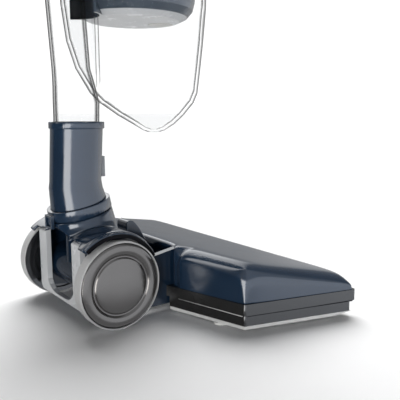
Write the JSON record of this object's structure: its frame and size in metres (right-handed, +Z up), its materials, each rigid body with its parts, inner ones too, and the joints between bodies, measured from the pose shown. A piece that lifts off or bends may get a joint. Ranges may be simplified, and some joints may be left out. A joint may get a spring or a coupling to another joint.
{
  "type": "wet dry floor scrubber",
  "caption": "Upright cordless wet-dry floor scrubber: a wheeled powered brush head with a tilting, swivelling neck, clear tanks, suction motor, battery and long handle.",
  "frame": {"origin": "on the floor, under the centre of the machine's bounding box", "axes": "+X forward over the brush head, +Y to the machine's left, +Z up"},
  "size_m": [0.2296, 0.2872, 1.0737],
  "materials": {
    "navy_gloss": "glossy",
    "navy_cover": "glossy",
    "bumper": "satin",
    "skirt": "satin",
    "sole": "satin",
    "blade": "matte",
    "pads": "matte",
    "black_plastic": "matte",
    "bristle": "matte",
    "steel": "brushed",
    "motor_can": "satin",
    "motor_case": "matte",
    "rotor_metal": "satin",
    "fan_rotor": "satin",
    "belt": "matte",
    "rear_trim": "satin",
    "tyre": "satin",
    "hub": "glossy",
    "wheel_cap": "satin",
    "hood": "glossy",
    "fork": "matte",
    "clear_duct": "clear",
    "clear_tank": "clear",
    "basket": "glossy",
    "filter": "pleated",
    "float": "matte",
    "board": "matte",
    "cells": "satin",
    "grip": "matte",
    "tube": "brushed",
    "display": "glossy",
    "button_gray": "satin"
  },
  "bodies": {
    "floor_head": {"top_cover": "navy_cover", "bumper_strip": "bumper", "lower_band": "skirt", "sole_plate": "sole", "squeegee_blade": "blade", "glide_pads": "pads", "brush_tunnel": "black_plastic", "suction_channel": "black_plastic", "brush_bearings": "black_plastic", "brush_motor_can": "motor_can", "drive_belt": "belt", "spray_bar": "black_plastic", "head_screws": "steel", "carriage_frame": "fork", "wheel_axle": "steel", "axle_clips": "steel"},
    "wheel_left": {"wheel_tyre_left": "tyre", "wheel_hub_left": "hub", "wheel_cap_left": "wheel_cap"},
    "wheel_right": {"wheel_tyre_right": "tyre", "wheel_hub_right": "hub", "wheel_cap_right": "wheel_cap"},
    "brush_roller": {"brush_core": "black_plastic", "brush_bristles": "bristle"},
    "brush_rotor": {"brush_motor_rotor": "rotor_metal"},
    "yoke": {"yoke_hood": "hood", "yoke_fork": "fork", "pivot_drum": "fork", "swivel_collar": "navy_gloss", "rear_trim": "rear_trim"},
    "upper_body": {"neck_sleeve": "navy_gloss", "neck_rim": "navy_gloss", "air_duct": "clear_duct", "housing_right": "navy_gloss", "housing_left": "navy_gloss", "housing_floor": "black_plastic", "suction_motor_case": "motor_case", "circuit_board": "board", "handle_tube": "tube", "control_pod": "navy_gloss", "display_panel": "display", "grip_right": "grip", "grip_left": "grip", "trigger_pin": "steel"},
    "neck_latch": {"neck_button": "button_gray"},
    "dirty_tank": {"dirty_tank_shell": "clear_tank", "tank_lid": "navy_gloss", "separator_basket": "basket", "filter_cartridge": "filter"},
    "float": {"float_valve": "float"},
    "tank_latch": {"tank_latch_button": "button_gray"},
    "fan": {"suction_rotor": "fan_rotor"},
    "battery": {"battery_case": "black_plastic", "battery_cells": "cells"},
    "battery_catch": {"battery_latch": "button_gray"},
    "clean_tank": {"clean_tank_shell": "clear_tank"},
    "clean_cap": {"clean_tank_cap": "navy_gloss"},
    "power_key": {"power_button": "button_gray"},
    "mode_key": {"mode_button": "button_gray"},
    "trigger": {"spray_trigger": "button_gray"}
  },
  "joints": [
    {"name": "wheel_left_spin", "type": "hinge", "parent": "floor_head", "child": "wheel_left", "pos_m": [-0.04218, 0.053, 0.0325], "axis": [0, 1, 0], "continuous": true},
    {"name": "wheel_right_spin", "type": "hinge", "parent": "floor_head", "child": "wheel_right", "pos_m": [-0.04218, -0.053, 0.0325], "axis": [0, 1, 0], "continuous": true},
    {"name": "brush_spin", "type": "hinge", "parent": "floor_head", "child": "brush_roller", "pos_m": [0.06582, 0, 0.0166], "axis": [0, 1, 0], "continuous": true},
    {"name": "brush_motor_spin", "type": "hinge", "parent": "floor_head", "child": "brush_rotor", "pos_m": [0.03432, 0.08, 0.025], "axis": [0, 1, 0], "continuous": true},
    {"name": "handle_tilt", "type": "hinge", "parent": "floor_head", "child": "yoke", "pos_m": [-0.04218, 0, 0.0325], "axis": [0, -1, 0], "range_deg": [0, 72]},
    {"name": "neck_swivel", "type": "hinge", "parent": "yoke", "child": "upper_body", "pos_m": [-0.04578, 0, 0.0829], "axis": [-0.225, 0, 0.9744], "range_deg": [-45, 45]},
    {"name": "neck_button_press", "type": "slide", "parent": "upper_body", "child": "neck_latch", "axis": [-1, 0, 0], "range_m": [0, 0.001], "stiffness_N_per_m": 800, "springref_m": -0.0005},
    {"name": "dirty_tank_pull", "type": "slide", "parent": "upper_body", "child": "dirty_tank", "axis": [1, 0, 0], "range_m": [0, 0.08]},
    {"name": "float_rise", "type": "slide", "parent": "dirty_tank", "child": "float", "axis": [0, 0, 1], "range_m": [0, 0.012]},
    {"name": "tank_latch_press", "type": "slide", "parent": "upper_body", "child": "tank_latch", "axis": [-1, 0, 0], "range_m": [0, 0.002], "stiffness_N_per_m": 900, "springref_m": -0.001},
    {"name": "fan_spin", "type": "hinge", "parent": "upper_body", "child": "fan", "pos_m": [0.00382, 0, 0.395], "axis": [0, 0, 1], "continuous": true},
    {"name": "battery_pull", "type": "slide", "parent": "upper_body", "child": "battery", "axis": [-1, 0, 0], "range_m": [0, 0.06]},
    {"name": "battery_latch_press", "type": "slide", "parent": "battery", "child": "battery_catch", "axis": [0, 0, -1], "range_m": [0, 0.004], "stiffness_N_per_m": 400, "springref_m": -0.002},
    {"name": "clean_tank_lift", "type": "slide", "parent": "upper_body", "child": "clean_tank", "axis": [0, 0, 1], "range_m": [0, 0.05]},
    {"name": "clean_cap_turn", "type": "hinge", "parent": "clean_tank", "child": "clean_cap", "pos_m": [0.00782, 0, 0.588], "axis": [0, 0, 1], "range_deg": [0, 90]},
    {"name": "power_press", "type": "slide", "parent": "upper_body", "child": "power_key", "axis": [0.998, 0, 0.0628], "range_m": [0, 0.0014], "stiffness_N_per_m": 500, "springref_m": -0.0006},
    {"name": "mode_press", "type": "slide", "parent": "upper_body", "child": "mode_key", "axis": [0.998, 0, 0.0628], "range_m": [0, 0.0014], "stiffness_N_per_m": 500, "springref_m": -0.0006},
    {"name": "trigger_pull", "type": "hinge", "parent": "upper_body", "child": "trigger", "pos_m": [-0.0778, 0, 0.98892], "axis": [0, 1, 0], "range_deg": [0, 8], "stiffness_Nm_per_rad": 0.4, "springref_deg": -8.59}
  ],
  "couplings": [
    {"joint": "brush_motor_spin", "follows": "brush_spin", "ratio": 1.6}
  ]
}
